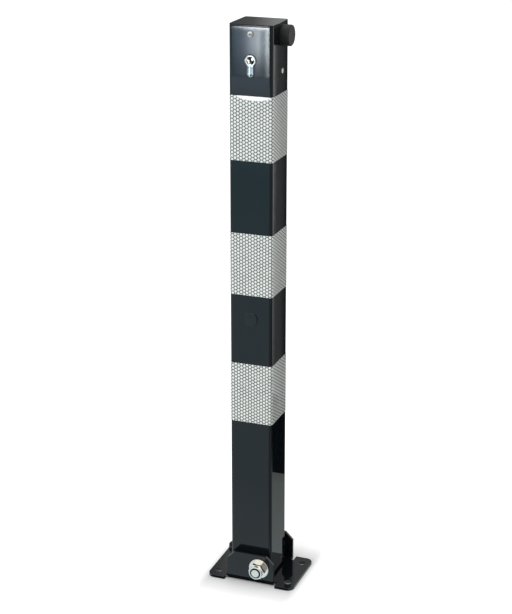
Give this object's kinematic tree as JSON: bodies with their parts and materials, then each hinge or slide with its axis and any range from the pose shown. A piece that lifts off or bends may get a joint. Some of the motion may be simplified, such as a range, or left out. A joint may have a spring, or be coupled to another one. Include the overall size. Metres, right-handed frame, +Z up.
{
  "type": "fold-down bollard",
  "caption": "Square steel parking post with reflective bands on a folded floor bracket; a key lock in its head frees it to fold flat about one cross bolt.",
  "frame": {"origin": "centre of the floor hole pattern, on the underside of the bracket", "axes": "+Z up along the post, -Y is the lock face, +X is the side that the post folds towards"},
  "size_m": [0.15, 0.134, 0.918],
  "materials": {
    "coat": "glossy anthracite powder coat",
    "zinc": "bright zinc plate",
    "nickel": "satin nickel plate",
    "steel": "drawn steel, oiled",
    "pins": "turned brass",
    "rubber": "matt moulded rubber",
    "plastic": "moulded nylon",
    "tape": "retroreflective honeycomb tape"
  },
  "bodies": {
    "base": {"base_bracket": "coat", "keeper_block": "coat", "pivot_bolt": "zinc", "pivot_nut": "zinc", "nut_insert": "plastic", "washer_front": "zinc", "washer_rear": "zinc", "spacer_front": "zinc", "spacer_rear": "zinc"},
    "post": {"post_tube": "coat", "pivot_sleeve": "zinc", "tape_band_upper": "tape", "tape_band_middle": "tape", "tape_band_lower": "tape", "top_cap": "coat", "cap_screw": "nickel", "lock_carrier": "steel", "cylinder_body": "nickel", "cylinder_screw": "nickel", "driver_pins": "pins", "pin_springs": "pins", "buffer": "rubber", "buffer_stud": "zinc", "buffer_nut": "zinc", "blanking_plug": "plastic", "guide_upper": "steel", "guide_lower": "steel"},
    "plug": {"cylinder_plug": "nickel", "cylinder_cam": "steel", "plug_clip": "steel", "key_pins": "pins"},
    "rod": {"lock_rod": "steel", "rod_follower": "steel", "follower_pin": "steel", "rod_collar": "steel", "collar_pin": "steel", "rod_spring": "steel"}
  },
  "joints": [
    {"name": "post_fold", "type": "hinge", "parent": "base", "child": "post", "pos_m": [0.016, 0, 0.03], "axis": [0, 1, 0], "range_deg": [0, 90]},
    {"name": "plug_turn", "type": "hinge", "parent": "post", "child": "plug", "pos_m": [-0.004, 0, 0.8645], "axis": [0, 1, 0], "range_deg": [-60, 0]},
    {"name": "rod_lift", "type": "slide", "parent": "post", "child": "rod", "axis": [0, 0, 1], "range_m": [-0.0122, 0], "stiffness_N_per_m": 820, "springref_m": 0.0244, "deforming": ["rod_spring"]}
  ],
  "couplings": [
    {"joint": "plug_turn", "follows": "rod_lift", "rad_per_m": 85.83}
  ]
}
